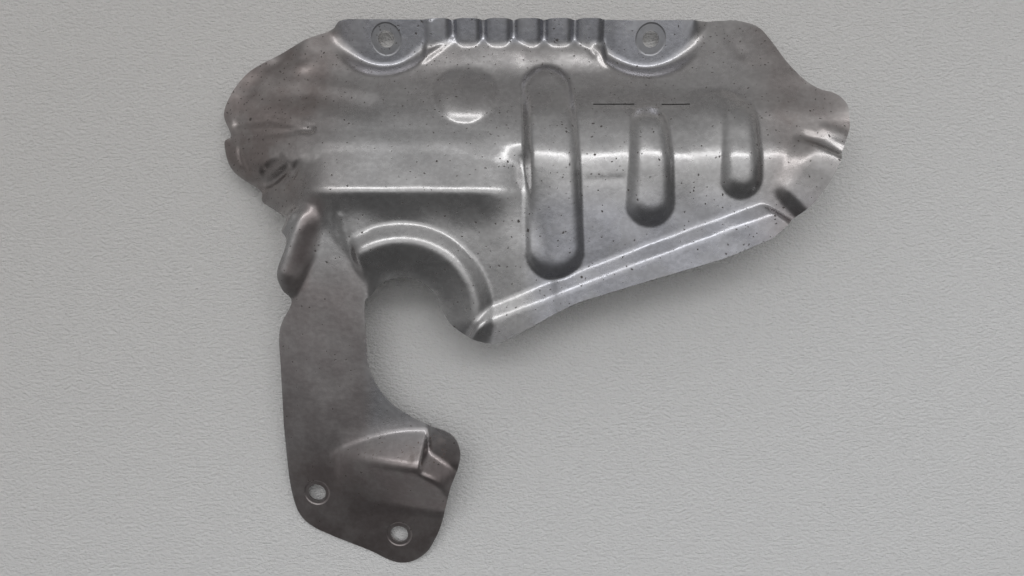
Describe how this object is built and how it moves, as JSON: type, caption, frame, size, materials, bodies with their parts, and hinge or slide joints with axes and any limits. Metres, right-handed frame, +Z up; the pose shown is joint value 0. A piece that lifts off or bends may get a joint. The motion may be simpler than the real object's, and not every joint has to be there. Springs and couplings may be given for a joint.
{
  "type": "turbocharger heat shield",
  "caption": "Pressed sheet steel heat shield for a turbocharger, with a ribbed mounting flange, stiffening beads, an arched cut-out and a long mounting arm.",
  "frame": {"origin": "middle of the outline's box, on the ground the shield lies on", "axes": "+X along the ribbed flange towards the pointed crimped end, +Y from the foot towards the flange, +Z up, out of the pressed outer face"},
  "size_m": [0.2602, 0.2364, 0.0337],
  "materials": {
    "sheet": "aged satin sheet steel with brown heat tint, dark specks and light rust"
  },
  "bodies": {
    "root": {"heat_shield": "sheet"}
  },
  "joints": []
}
